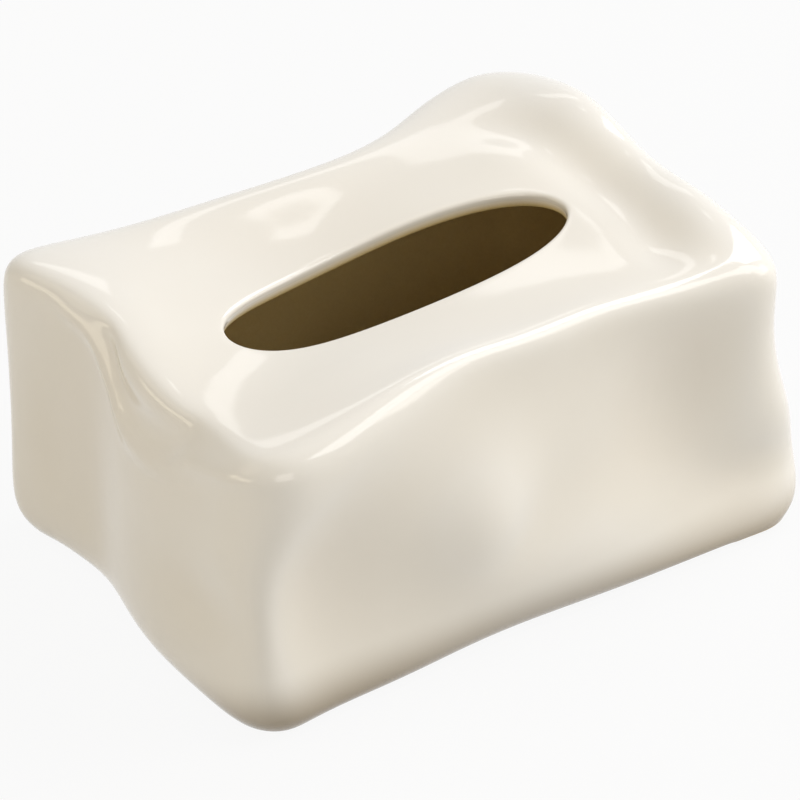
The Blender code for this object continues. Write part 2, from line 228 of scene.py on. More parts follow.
@dataclass(frozen=True)
class GlazedStoneware:
    """Slip-cast stoneware, dipped in a glossy cream glaze and wiped bare at the foot and inside.

    The glaze gives the eye a milky cream with wet highlights: it pools a little deeper in colour
    in the hollows, runs thin and pale over the crests and has the faint ripple of melted glass.
    Near the floor it carries a painted shade of the curled-under foot, deepest at the front. The
    bare clay is a matt warm buff.
    """

    name: str = "Glazed stoneware"
    cream: str = "F3EEE3"
    pooled: str = "F0EADE"
    thin: str = "F5F1E8"
    # a painted shade of the curled-under foot, a darker tone towards the floor
    painted_foot_shade: str = "A09074"
    buff: str = "E3CD92"
    buff_dark: str = "D2B879"
    pool_depth_mm: float = 2.4
    tone_drift_mm: float = 60.0
    tone_drift_share: float = 0.35
    # how high the painted foot shade reaches, tilted so it is deepest at the front and gone at the
    # back
    foot_shade_band_mm: float = 23.0
    foot_shade_tilt: float = 0.3
    foot_shade_lean: float = 0.03
    foot_shade_start_mm: float = -77.0
    ripple_mm: float = 9.0
    ripple_depth_mm: float = 0.03
    peel_mm: float = 1.6
    peel_depth_mm: float = 0.003
    grog_mm: float = 0.9
    grog_contrast: float = 0.7
    clay_coarseness: float = 12.0  # times the height of the glaze's peel
    glaze_roughness: float = 0.08
    clay_roughness: float = 0.85
    glaze_ior: float = 1.52

    def material(self) -> Material:
        """Builds the glaze over clay, told apart by the skin's bare share.

        Returns:
            The finished material.
        """
        material, tree = new_material(self.name)
        place = add_node(tree, "ShaderNodeTexCoord").outputs["Object"]
        mark = add_node(tree, "ShaderNodeAttribute", attribute_name=SkinMark.BARE.value)
        bare = mark.outputs["Fac"]
        glaze = self.glaze_colour(tree, place)
        clay = self.clay_colour(tree, place)
        base = add_node(tree, MIX, {"Factor": bare, "A": glaze, "B": clay}, data_type="RGBA")
        roughness = add_node(
            tree,
            MAP_RANGE,
            {"Value": bare, "To Min": self.glaze_roughness, "To Max": self.clay_roughness},
        )
        shader = add_node(
            tree,
            "ShaderNodeBsdfPrincipled",
            {
                "Base Color": base,
                "Roughness": roughness,
                "IOR": self.glaze_ior,
                "Normal": self.ripple(tree, place, bare),
            },
        )
        add_node(tree, "ShaderNodeOutputMaterial", {"Surface": shader})
        return material

    def glaze_colour(self, tree: Tree, place: Socket) -> Node:
        """Cream that pools in the hollows and thins over the crests, with a painted shade towards
        the foot that is darkest at the front.

        Args:
            tree: The material's tree.
            place: Object coordinates.

        Returns:
            The node that gives the colour.
        """
        mark = add_node(tree, "ShaderNodeAttribute", attribute_name=SkinMark.RELIEF.value)
        drift = add_node(
            tree,
            NOISE,
            {"Vector": place, "Scale": pattern_scale(self.tone_drift_mm), "Detail": 3.0},
        )
        wander = add_node(
            tree,
            MAP_RANGE,
            {
                "Value": drift,
                "From Min": NOISE_LOW,
                "From Max": NOISE_HIGH,
                "To Min": -self.tone_drift_share * self.pool_depth_mm,
                "To Max": self.tone_drift_share * self.pool_depth_mm,
            },
        )
        depth = add_node(tree, MATH, {0: mark.outputs["Fac"], 1: wander}, operation="ADD")
        share = add_node(
            tree,
            MAP_RANGE,
            {"Value": depth, "From Min": -self.pool_depth_mm, "From Max": self.pool_depth_mm},
        )
        ramp = add_node(tree, "ShaderNodeValToRGB", {"Fac": share})
        stops = ramp.color_ramp.elements
        stops[0].color = linear(self.pooled)
        stops[1].color = linear(self.thin)
        stops.new(0.5).color = linear(self.cream)
        # Painted shade of the curled-under foot: the cream darkens towards the floor, most at the
        # front and not at all at the back
        level = add_node(
            tree,
            VECTOR_MATH,
            {0: place, 1: (self.foot_shade_lean, self.foot_shade_tilt, 1)},
            operation="DOT_PRODUCT",
        )
        foot_shade_start = self.foot_shade_tilt * self.foot_shade_start_mm * MM
        foot_shade_share = add_node(
            tree,
            MAP_RANGE,
            {"Value": level, "From Min": foot_shade_start + self.foot_shade_band_mm * MM, "From Max": foot_shade_start},
            interpolation_type="SMOOTHSTEP",
        )
        return add_node(
            tree, MIX, {"Factor": foot_shade_share, "A": ramp, "B": linear(self.painted_foot_shade)}, data_type="RGBA"
        )

    def clay_colour(self, tree: Tree, place: Socket) -> Node:
        """Buff clay with the fine grain of its grog.

        Args:
            tree: The material's tree.
            place: Object coordinates.

        Returns:
            The node that gives the colour.
        """
        grain = add_node(
            tree,
            NOISE,
            {
                "Vector": place,
                "Scale": pattern_scale(self.grog_mm),
                "Detail": 4.0,
                "Roughness": self.grog_contrast,
            },
        )
        return add_node(
            tree,
            MIX,
            {"Factor": grain, "A": linear(self.buff), "B": linear(self.buff_dark)},
            data_type="RGBA",
        )

    def ripple(self, tree: Tree, place: Socket, bare: Socket) -> Node:
        """The glaze's slow ripple and fine peel, and the clay's coarser grain.

        Args:
            tree: The material's tree.
            place: Object coordinates.
            bare: The bare share, 1 on clay.

        Returns:
            The node that gives the bumped normal.
        """
        slow = add_node(
            tree, NOISE, {"Vector": place, "Scale": pattern_scale(self.ripple_mm), "Detail": 1.0}
        )
        fine = add_node(
            tree, NOISE, {"Vector": place, "Scale": pattern_scale(self.peel_mm), "Detail": 2.0}
        )
        wave = add_node(
            tree,
            "ShaderNodeBump",
            {"Height": slow, "Distance": self.ripple_depth_mm * MM, "Strength": 1.0},
        )
        grit = add_node(
            tree, MAP_RANGE, {"Value": bare, "To Min": 1.0, "To Max": self.clay_coarseness}
        )
        height = add_node(tree, MATH, {0: fine, 1: grit}, operation="MULTIPLY")
        return add_node(
            tree,
            "ShaderNodeBump",
            {"Height": height, "Distance": self.peel_depth_mm * MM, "Normal": wave},
        )


@dataclass(frozen=True)
class SiliconeRubber:
    """Moulded self-adhesive silicone pads.

    It gives the eye a satin, slightly cloudy grey-white, with a light bloom of dust.
    """

    name: str = "Silicone rubber"
    body: str = "DAD8D2"
    bloom: str = "E9E7E2"
    bloom_mm: float = 1.2
    grain_mm: float = 0.25
    grain_depth_mm: float = 0.01
    clean_roughness: float = 0.42
    dusty_roughness: float = 0.6
    ior: float = 1.41

    def material(self) -> Material:
        """Builds the silicone.

        Returns:
            The finished material.
        """
        material, tree = new_material(self.name)
        place = add_node(tree, "ShaderNodeTexCoord").outputs["Object"]
        cloud = add_node(
            tree, NOISE, {"Vector": place, "Scale": pattern_scale(self.bloom_mm), "Detail": 3.0}
        )
        colour = add_node(
            tree,
            MIX,
            {"Factor": cloud, "A": linear(self.body), "B": linear(self.bloom)},
            data_type="RGBA",
        )
        grain = add_node(tree, NOISE, {"Vector": place, "Scale": pattern_scale(self.grain_mm)})
        bump = add_node(
            tree, "ShaderNodeBump", {"Height": grain, "Distance": self.grain_depth_mm * MM}
        )
        roughness = add_node(
            tree,
            MAP_RANGE,
            {"Value": cloud, "To Min": self.clean_roughness, "To Max": self.dusty_roughness},
        )
        shader = add_node(
            tree,
            "ShaderNodeBsdfPrincipled",
            {"Base Color": colour, "Roughness": roughness, "IOR": self.ior, "Normal": bump},
        )
        add_node(tree, "ShaderNodeOutputMaterial", {"Surface": shader})
        return material


@dataclass(frozen=True)
class Swell:
    """A soft push of the skin, strongest at its place and fading out around it."""

    name: str
    place: Point  # shares of half the length, half the width and the height
    reach: Point
    push_mm: Point


FINE, SLIM, SMALL, SHORT = 12 * MM, 16 * MM, 21 * MM, 26 * MM
NARROW, SOFT, MIDDLE, BROAD, TALL = 32 * MM, 38 * MM, 44 * MM, 52 * MM, 90 * MM

SWELLS = (
    Swell("Left end hollow", (-1, 0.35, 0.45), (SOFT, NARROW, TALL), (13.5, 0, 0)),
    Swell("Left end turn", (-1, -0.4, 0.15), (SOFT, NARROW, BROAD), (0, 6, 0)),
    Swell("Front left corner bulge", (-0.95, -1, 0.25), (BROAD, MIDDLE, BROAD), (0, -4, 0)),
    Swell("Front right hollow", (0.55, -1, 0.6), (SOFT, SOFT, SOFT), (0, 18, 0)),
    Swell("Front foot hollow", (-0.1, -1, 0.25), (BROAD, SOFT, NARROW), (0, 11.5, 0)),
    Swell("Right foot flare", (1, -0.9, 0.2), (MIDDLE, BROAD, NARROW), (7.5, 0, 0)),
    Swell("Right waist", (1, -0.85, 0.6), (SOFT, NARROW, MIDDLE), (-7.5, 0, 0)),
    Swell("Back hollow", (0.2, 1, 0.9), (MIDDLE, SOFT, BROAD), (12.5, -13, 0)),
    Swell("Back foot hollow", (-0.1, 1, 0.1), (MIDDLE, SOFT, BROAD), (0, -3.5, 0)),
    Swell("Right end hollow", (1, 0.05, 0.2), (SOFT, SOFT, MIDDLE), (-4.5, 0, 0)),
    Swell("Left crest", (-0.9, 0.5, 1), (SOFT, MIDDLE, MIDDLE), (0, 0, 3.5)),
    Swell("Left saddle", (-1, -0.5, 1), (MIDDLE, SOFT, MIDDLE), (0, 0, -2)),
    Swell("Front left basin", (-0.55, -0.25, 1), (SOFT, SOFT, MIDDLE), (0, 0, -6)),
    Swell("Front right basin", (0.65, -0.3, 1), (MIDDLE, SOFT, MIDDLE), (0, 0, -2.5)),
    Swell("Middle basin", (-0.2, 0.35, 1), (BROAD, MIDDLE, BROAD), (0, 0, -9.5)),
    Swell("Right basin", (0.9, 0.05, 1), (SHORT, SHORT, SOFT), (0, 0, -5)),
    Swell("Right crest", (1.25, 0.4, 1), (SOFT, NARROW, MIDDLE), (-9, 0, 20)),
    Swell("Right front crest", (1.2, -0.35, 1), (MIDDLE, MIDDLE, MIDDLE), (-13, 0, 18)),
    Swell("Front crest", (-0.05, -1.15, 1), (BROAD, NARROW, SOFT), (0, 15, 8.5)),
    Swell("Front left crest", (-0.55, -0.95, 1), (MIDDLE, SOFT, MIDDLE), (0, 0, 4)),
    Swell("Back left sag", (-0.55, 1.15, 1), (MIDDLE, SHORT, MIDDLE), (0, 0, -6.5)),
    Swell("Back right bulge", (0.6, 1.15, 1), (BROAD, SOFT, MIDDLE), (0, 13, -7)),
    Swell("Front rib", (-0.2, -1, 0.5), (SLIM, NARROW, SLIM), (0, -12, 0)),
    Swell("Front foot ridge", (0.05, -1, 0.25), (SOFT, NARROW, FINE), (0, -9, 0)),
    Swell("Front right foot tuck", (0.8, -1, 0.2), (SHORT, NARROW, FINE), (0, 15, 0)),
    Swell("Front right dimple", (0.5, -1, 0.35), (SMALL, NARROW, SMALL), (0, 3, 0)),
    Swell("Front left dent", (-0.7, -1, 0.45), (SHORT, NARROW, SOFT), (-8, 12.5, 0)),
    Swell("Left rib", (-1, 0.15, 0.4), (NARROW, SLIM, MIDDLE), (-2, 0, 0)),
    Swell("Left back flute", (-1, 0.7, 0.35), (NARROW, FINE, SOFT), (6, 0, 0)),
    Swell("Left front dimple", (-1, -0.65, 0.4), (NARROW, SMALL, FINE), (5, 0, 0)),
    Swell("Left shoulder dip", (-1, -0.35, 0.9), (NARROW, NARROW, SHORT), (4, 0, -2.5)),
    Swell("Right crest rise", (0.8, 0.4, 1), (SHORT, SMALL, NARROW), (0, 0, 2.5)),
    Swell("Near rim rise", (-0.45, -0.5, 1), (SHORT, SLIM, NARROW), (0, 0, 2)),
    Swell("Front crest lip", (0, -1, 1), (SMALL, SMALL, FINE), (0, -3.5, -2)),
    Swell("Front left shoulder", (-0.7, -1, 0.85), (SHORT, SMALL, SLIM), (0, -4.5, 0)),
    Swell("Front right shoulder", (0.45, -1, 1.05), (SMALL, SMALL, FINE), (0, -2, 0)),
)


@dataclass(frozen=True)
class Crease:
    """A fine ridge or groove that a thumb drew over the skin, with its lengths in millimetres."""

    name: str
    along: str  # the axis that its path runs along
    across: str  # the axis that its path bends across
    path: tuple[tuple[float, float], ...]  # places along and across
    width: float
    push: Point
    fade: float  # how far from each end of the path it reaches its full strength
    gates: tuple[tuple[str, float, float], ...]  # an axis, where it starts and where it is full
    shift: float = 0  # how far it lies beside its path


LEFT_FOLD = ((-82, 96), (-66, 93), (-40, 84.5), (-8, 72), (12, 84), (27, 95), (44, 96))
RIGHT_CREST_FOOT = ((-66, 58), (-36, 67), (-5, 72), (20, 71), (40, 67), (54, 64))
LEFT_END_ONLY = ("X", -84, -94)

CREASES = (
    Crease(
        "Left fold ridge", "Y", "Z", LEFT_FOLD,
        width=3.6, push=(-1.4, 0, 0), fade=14, gates=(LEFT_END_ONLY,),
    ),
    Crease(
        "Left fold cove", "Y", "Z", LEFT_FOLD,
        width=8, push=(2.6, 0, 0), fade=30, gates=(LEFT_END_ONLY, ("Z", 103, 93)), shift=9.5,
    ),
    Crease(
        "Right crest foot", "Y", "X", RIGHT_CREST_FOOT,
        width=9.5, push=(0, 0, -2.7), fade=26, gates=(("Z", 86, 94),),
    ),
)


@dataclass(frozen=True)
class Sides:
    """A length or a place for each side of the box."""

    left: float
    right: float
    front: float
    back: float


@dataclass(frozen=True)
class PlanRectangle(Sides):
    """A rectangle in plan, by the places of its sides and its corners' radius."""

    corner: float

    def outline(
        self, long_steps: int, short_steps: int, corner_steps: int
    ) -> tuple[np.ndarray, np.ndarray]:
        """Walks once round the rectangle, anticlockwise from the back right corner.

        Args:
            long_steps: Steps along the front and the back.
            short_steps: Steps along each end.
            corner_steps: Steps round each corner.

        Returns:
            The points, and the outward direction at each.
        """
        left, right = self.left + self.corner, self.right - self.corner
        front, back = self.front + self.corner, self.back - self.corner
        middles = np.array([(right, back), (left, back), (left, front), (right, front)])
        points: list[np.ndarray] = []
        outward: list[np.ndarray] = []
        for corner, middle in enumerate(middles):
            for step in range(corner_steps + 1):
                turn = QUARTER_TURN * (corner + step / corner_steps)
                direction = np.array([cos(turn), sin(turn)])
                points.append(middle + self.corner * direction)
                outward.append(direction)
            run = middles[(corner + 1) % len(middles)] - middle
            side_steps = short_steps if corner % 2 else long_steps
            start = points[-1]
            for step in range(1, side_steps):
                points.append(start + run * step / side_steps)
                outward.append(outward[-1])
        return np.array(points), np.array(outward)


def smooth(share: np.ndarray) -> np.ndarray:
    """A share from 0 to 1 that starts and ends level."""
    share = np.clip(share, 0, 1)
    return share**2 * (3 - 2 * share)


@dataclass
class CoverShell:
    """The casting: its skin, its swells, its wall, its creases and its wiped clay."""

    length: float = 212 * MM
    width: float = 155 * MM
    height: float = 100 * MM
    plan_corner: float = 22 * MM
    crest_corner: float = 10 * MM
    wall: float = 5.5 * MM
    shoulder_reach: Sides = Sides(8 * MM, 22 * MM, 10 * MM, 12 * MM)
    shoulder_drop: Sides = Sides(9 * MM, 15 * MM, 10 * MM, 10 * MM)
    foot_level: float = 1.5 * MM
    foot_tuck: float = 9 * MM
    foot_rise: float = 13 * MM
    land_width: float = 7.5 * MM
    settling_share: float = 0.35  # share of the height in which swells grow from the flat foot
    slot_length: float = 119 * MM
    slot_width: float = 45.5 * MM
    slot_shift: tuple[float, float] = (-2 * MM, -0.5 * MM)
    slot_turn: float = radians(-2)
    lip_round: float = 1.4 * MM
    foot_edge_round: float = 1.5 * MM
    foot_edge_angle: float = radians(50)
    edge_segments: int = 3
    crease_depth: float = 1.0
    long_steps: int = 38
    short_steps: int = 28
    corner_steps: int = 9
    top_steps: int = 14
    shoulder_steps: int = 8
    wall_steps: int = 16
    foot_steps: int = 7
    land_steps: int = 2
    skin_levels: int = 1
    top_spread: float = 0.8  # below 1, the top's rings crowd towards the shoulder
    freeing_spread: float = 0.91  # below 1, swells take hold sooner beside the slot
    sponge_passes: int = 6
    relief_passes: int = 40
    wiping_passes: int = 6
    wiped_from: float = 0.3  # share of the inner wall's blurred weight where glaze gives way
    wiped_full: float = 0.8
    wiped_rise: float = 0.4 * MM

    def rings(self) -> tuple[np.ndarray, list[float]]:
        """Walks the plain box's skin in rings, from the slot over the shoulder to the land.

        Returns:
            The points of each ring, and how freely each ring slides in plan.
        """
        steps = (self.long_steps, self.short_steps, self.corner_steps)
        half_length, half_width = self.length / 2, self.width / 2
        reach, drops = self.shoulder_reach, self.shoulder_drop
        wall_plan = PlanRectangle(
            -half_length, half_length, -half_width, half_width, self.plan_corner
        )
        crest_plan = PlanRectangle(
            -half_length + reach.left,
            half_length - reach.right,
            -half_width + reach.front,
            half_width - reach.back,
            self.crest_corner,
        )
        wall, outward = wall_plan.outline(*steps)
        crest, _ = crest_plan.outline(*steps)
        along_x = np.where(outward[:, 0] < 0, drops.left, drops.right)
        along_y = np.where(outward[:, 1] < 0, drops.front, drops.back)
        drop = outward[:, 0] ** 2 * along_x + outward[:, 1] ** 2 * along_y
        angle = np.arctan2(wall[:, 1] / self.width, wall[:, 0] / self.length)
        along = self.slot_length / 2 * np.cos(angle)
        across = self.slot_width / 2 * np.sin(angle)
        lean, level = sin(self.slot_turn), cos(self.slot_turn)
        slot = np.column_stack(
            [
                self.slot_shift[0] + along * level - across * lean,
                self.slot_shift[1] + along * lean + across * level,
            ]
        )

        rings: list[np.ndarray] = []
        freedom: list[float] = []

        def lift(points: np.ndarray, level: float | np.ndarray, free: float) -> None:
            """Adds a ring at a level that may differ from point to point."""
            rings.append(np.column_stack([points, np.broadcast_to(level, len(points))]))
            freedom.append(free)

        for step in range(self.top_steps):
            share = (step / self.top_steps) ** self.top_spread
            free = float(smooth(np.array(share**self.freeing_spread)))
            lift(slot * (1 - share) + crest * share, self.height, free)
        for step in range(self.shoulder_steps):
            turn = QUARTER_TURN * step / self.shoulder_steps
            points = crest + (wall - crest) * sin(turn)
            lift(points, self.height - drop * (1 - cos(turn)), 1)
        foot_top = self.foot_level + self.foot_rise
        for step in range(self.wall_steps):
            share = step / self.wall_steps
            lift(wall, (self.height - drop) * (1 - share) + foot_top * share, 1)
        for step in range(self.foot_steps):
            turn = QUARTER_TURN * step / self.foot_steps
            points = wall - outward * self.foot_tuck * (1 - cos(turn))
            lift(points, self.foot_level + self.foot_rise * (1 - sin(turn)), 1)
        for step in range(self.land_steps + 1):
            inset = self.foot_tuck + self.land_width * step / self.land_steps
            lift(wall - outward * inset, self.foot_level, 1)
        return np.array(rings), freedom

    def skin_mesh(self) -> bpy.types.Mesh:
        """Builds the plain box's skin as an open sleeve, from the slot down to the land.

        Returns:
            The sleeve, marked with how freely each point slides, how much it is sponged, and the
            edges that are rolled round the slot.
        """
        places, freedom = self.rings()
        ring_count, around = places.shape[:2]
        corners = np.arange(ring_count * around).reshape(ring_count, around)
        after = np.roll(corners, -1, axis=1)
        faces = np.stack([corners[:-1], corners[1:], after[1:], after[:-1]], axis=-1)
        mesh = bpy.data.meshes.new("Cover skin")
        mesh.from_pydata(places.reshape(-1, 3).tolist(), [], faces.reshape(-1, 4).tolist())
        # The sponge spares the slot's edge, the land and the last of the turn into it
        sponged = np.ones(ring_count)
        sponged[0] = 0
        sponged[-self.land_steps - 2 :] = 0
        for mark, values in ((SkinMark.FREEDOM, freedom), (SkinMark.SOFTNESS, sponged)):
            layer = mesh.attributes.new(mark.value, "FLOAT", "POINT")
            layer.data.foreach_set("value", np.repeat(np.array(values, float), around))
        # The slot's ring holds the first points of the sleeve
        ends = np.empty(2 * len(mesh.edges), int)
        mesh.edges.foreach_get("vertices", ends)
        at_slot = (ends.reshape(-1, 2) < around).all(axis=1)
        rolled = mesh.attributes.new(SkinMark.ROLLED.value, "FLOAT", "EDGE")
        rolled.data.foreach_set("value", at_slot.astype(float))
        return mesh

    def swell_group(self) -> Tree:
        """Builds the group that says how far one swell pushes each point.

        Returns:
            The geometry node group.
        """
        kinds = dict.fromkeys(("Box", "Place", "Reach", "Push"), "Vector")
        tree, given = new_tree("Swell", kinds, {"Offset": "Vector"})
        box, place = given["Box"], given["Place"]
        middle = add_node(tree, VECTOR_MATH, {0: box, 1: place}, operation="MULTIPLY")
        position = add_node(tree, "GeometryNodeInputPosition")
        away = add_node(tree, VECTOR_MATH, {0: position, 1: middle}, operation="SUBTRACT")
        reaches = add_node(tree, VECTOR_MATH, {0: away, 1: given["Reach"]}, operation="DIVIDE")
        square = add_node(tree, VECTOR_MATH, {0: reaches, 1: reaches}, operation="DOT_PRODUCT")
        offset = add_node(
            tree, VECTOR_MATH, {0: given["Push"], "Scale": bell(tree, square)}, operation="SCALE"
        )
        add_node(tree, "NodeGroupOutput", {"Offset": offset})
        return tree

    def casting_tree(self) -> Tree:
        """Builds the tree that swells, sponges, centres and marks the skin.

        Returns:
            The geometry node tree, with the sizes as named inputs.
        """
        sizes = ("Length", "Width", "Height", "Foot level", "Settling height")
        kinds = {
            "Middle": "Vector",
            "Sponge passes": "Int",
            "Relief passes": "Int",
            "Finish": "Material",
        }
        tree, given = new_tree(
            "Swollen casting", SHAPE | dict.fromkeys(sizes, "Float") | kinds, SHAPE
        )
        swollen = add_node(
            tree,
            "GeometryNodeSetPosition",
            {"Geometry": given["Geometry"], "Offset": self.total_push(tree, given)},
        )
        position = add_node(tree, "GeometryNodeInputPosition")
        softness = add_node(tree, NAMED_ATTRIBUTE, {"Name": SkinMark.SOFTNESS.value})
        sponge = add_node(
            tree,
            "GeometryNodeBlurAttribute",
            {"Value": position, "Iterations": given["Sponge passes"], "Weight": softness},
            data_type="FLOAT_VECTOR",
        )
        sponged = add_node(
            tree, "GeometryNodeSetPosition", {"Geometry": swollen, "Position": sponge}
        )
        marked = add_node(
            tree,
            "GeometryNodeStoreNamedAttribute",
            {
                "Geometry": self.centred(tree, sponged, given["Middle"]),
                "Name": SkinMark.RELIEF.value,
                "Value": self.relief(tree, position, given["Relief passes"]),
            },
            data_type="FLOAT",
            domain="POINT",
        )
        end_tree(tree, marked, given["Finish"])
        return tree

    def total_push(self, tree: Tree, given: Any) -> Node:
        """Adds up the swells, held back at the slot and at the flat foot.

        Args:
            tree: The casting's tree.
            given: The tree's input sockets.

        Returns:
            The node that gives each point's offset.
        """
        half_length, half_width = (
            add_node(tree, MATH, {0: given[name], 1: 0.5}, operation="MULTIPLY")
            for name in ("Length", "Width")
        )
        box = add_node(
            tree, "ShaderNodeCombineXYZ", {"X": half_length, "Y": half_width, "Z": given["Height"]}
        )
        group = self.swell_group()
        total: Node | None = None
        for swell in SWELLS:
            push = add_node(
                tree,
                "GeometryNodeGroup",
                {
                    "Box": box,
                    "Place": swell.place,
                    "Reach": swell.reach,
                    "Push": [length * MM for length in swell.push_mm],
                },
                node_tree=group,
                label=swell.name,
            )
            if total is not None:
                push = add_node(tree, VECTOR_MATH, {0: total, 1: push}, operation="ADD")
            total = push

        place = axes(tree)
        settled = add_node(
            tree, MATH, {0: given["Foot level"], 1: given["Settling height"]}, operation="ADD"
        )
        rise = add_node(
            tree,
            MAP_RANGE,
            {"Value": place["Z"], "From Min": given["Foot level"], "From Max": settled},
            interpolation_type="SMOOTHSTEP",
        )
        freedom = add_node(tree, NAMED_ATTRIBUTE, {"Name": SkinMark.FREEDOM.value})
        shares = add_node(tree, "ShaderNodeCombineXYZ", {"X": freedom, "Y": freedom, "Z": rise})
        return add_node(tree, VECTOR_MATH, {0: total, 1: shares}, operation="MULTIPLY")

    def centred(self, tree: Tree, skin: Node, target: Socket) -> Node:
        """Moves the skin in plan so that its box is centred on the target.

        Args:
            tree: The casting's tree.
            skin: The skin's node.
            target: Where the middle of its box goes, in plan.

        Returns:
            The node that gives the moved skin.
        """
        box = add_node(tree, "GeometryNodeBoundBox", {"Geometry": skin}).outputs
        both = add_node(tree, VECTOR_MATH, {0: box["Min"], 1: box["Max"]}, operation="ADD")
        middle = add_node(tree, VECTOR_MATH, {0: both, 1: (0.5, 0.5, 0)}, operation="MULTIPLY")
        shift = add_node(tree, VECTOR_MATH, {0: target, 1: middle}, operation="SUBTRACT")
        return add_node(tree, "GeometryNodeTransform", {"Geometry": skin, "Translation": shift})

    def relief(self, tree: Tree, position: Node, passes: Socket) -> Node:
        """How far the skin stands out of its own surroundings, in millimetres.

        Args:
            tree: The casting's tree.
            position: The points' positions.
            passes: How widely the surroundings are averaged.

        Returns:
            The node that gives the relief, positive on a crest and negative in a hollow.
        """
        around = add_node(
            tree,
            "GeometryNodeBlurAttribute",
            {"Value": position, "Iterations": passes},
            data_type="FLOAT_VECTOR",
        )
        proud = add_node(tree, VECTOR_MATH, {0: position, 1: around}, operation="SUBTRACT")
        normal = add_node(tree, "GeometryNodeInputNormal").outputs["Normal"]
        height = add_node(tree, VECTOR_MATH, {0: proud, 1: normal}, operation="DOT_PRODUCT")
        return add_node(tree, MATH, {0: height, 1: 1 / MM}, operation="MULTIPLY")

    def crease_tree(self, inside: str) -> Tree:
        """Builds the tree that draws the fine creases on the outer skin.

        Args:
            inside: The vertex group of the casting's inner wall.

        Returns:
            The geometry node tree, with a share of the creases' depth as a named input.
        """
        kinds = {"Depth": "Float", "Finish": "Material"}
        tree, given = new_tree("Thumb creases", SHAPE | kinds, SHAPE)
        weight = add_node(tree, NAMED_ATTRIBUTE, {"Name": inside})
        place = axes(tree)
        skin = given["Geometry"]
        for crease in CREASES:
            strength = self.crease_strength(tree, crease, place)
            depth = add_node(tree, MATH, {0: strength, 1: given["Depth"]}, operation="MULTIPLY")
            # The inner wall's weight is 1, so from halfway to it the crease has no depth
            outside = add_node(
                tree, MAP_RANGE, {"Value": weight, "From Max": 0.5, "To Min": depth, "To Max": 0.0}
            )
            offset = add_node(
                tree,
                VECTOR_MATH,
                {0: [length * MM for length in crease.push], "Scale": outside},
                operation="SCALE",
                label=crease.name,
            )
            skin = add_node(tree, "GeometryNodeSetPosition", {"Geometry": skin, "Offset": offset})
        end_tree(tree, skin, given["Finish"])
        return tree

    def crease_strength(self, tree: Tree, crease: Crease, place: Any) -> Node:
        """How strongly a crease pushes each point: 1 on its path, 0 away from it.

        Args:
            tree: The creases' tree.
            crease: The crease.
            place: The point's X, Y and Z sockets.

        Returns:
            The node that gives the strength.
        """
        along, across = np.array(crease.path, float).T
        first, last = float(along[0]), float(along[-1])
        lowest, highest = float(across.min()), float(across.max())
        share = add_node(
            tree,
            MAP_RANGE,
            {"Value": place[crease.along], "From Min": first * MM, "From Max": last * MM},
        )
        bend = add_node(tree, "ShaderNodeFloatCurve", {"Value": share})
        points = bend.mapping.curves[0].points
        stops = np.column_stack(
            [(along - first) / (last - first), (across - lowest) / (highest - lowest)]
        )
        points[0].location = stops[0]
        points[-1].location = stops[-1]
        for stop in stops[1:-1]:
            points.new(*stop)
        bend.mapping.update()
        line = add_node(
            tree,
            MAP_RANGE,
            {
                "Value": bend,
                "To Min": (lowest + crease.shift) * MM,
                "To Max": (highest + crease.shift) * MM,
            },
        )
        away = add_node(tree, MATH, {0: place[crease.across], 1: line}, operation="SUBTRACT")
        reaches = add_node(tree, MATH, {0: away, 1: crease.width * MM}, operation="DIVIDE")
        square = add_node(tree, MATH, {0: reaches, 1: reaches}, operation="MULTIPLY")
        strength = bell(tree, square)
        ends = ((first, crease.fade), (last, -crease.fade))
        gates = crease.gates + tuple((crease.along, end, end + fade) for end, fade in ends)
        for axis, start, full in gates:
            gate = add_node(
                tree,
                MAP_RANGE,
                {"Value": place[axis], "From Min": start * MM, "From Max": full * MM},
                interpolation_type="SMOOTHSTEP",
            )
            strength = add_node(tree, MATH, {0: strength, 1: gate}, operation="MULTIPLY")
        return strength

    def wiping_tree(self, inside: str) -> Tree:
        """Builds the tree that marks where the clay is bare: the inside and the land.

        Args:
            inside: The vertex group of the casting's inner wall.

        Returns:
            The geometry node tree, with the wiped level and passes as named inputs.
        """
        kinds = {"Wiped below": "Float", "Wiping passes": "Int", "Finish": "Material"}
        tree, given = new_tree("Wiped clay", SHAPE | kinds, SHAPE)
        weight = add_node(tree, NAMED_ATTRIBUTE, {"Name": inside})
        past_lip = add_node(
            tree,
            "GeometryNodeBlurAttribute",
            {"Value": weight, "Iterations": given["Wiping passes"]},
            data_type="FLOAT",
        )
        wall = add_node(
            tree,
            MAP_RANGE,
            {"Value": past_lip, "From Min": self.wiped_from, "From Max": self.wiped_full},
            interpolation_type="SMOOTHSTEP",
        )
        place = axes(tree)
        land = add_node(
            tree, MATH, {0: place["Z"], 1: given["Wiped below"]}, operation="LESS_THAN"
        )
        bare = add_node(tree, MATH, {0: wall, 1: land}, operation="MAXIMUM")
        marked = add_node(
            tree,
            "GeometryNodeStoreNamedAttribute",
            {"Geometry": given["Geometry"], "Name": SkinMark.BARE.value, "Value": bare},
            data_type="FLOAT",
            domain="POINT",
        )
        end_tree(tree, marked, given["Finish"])
        return tree

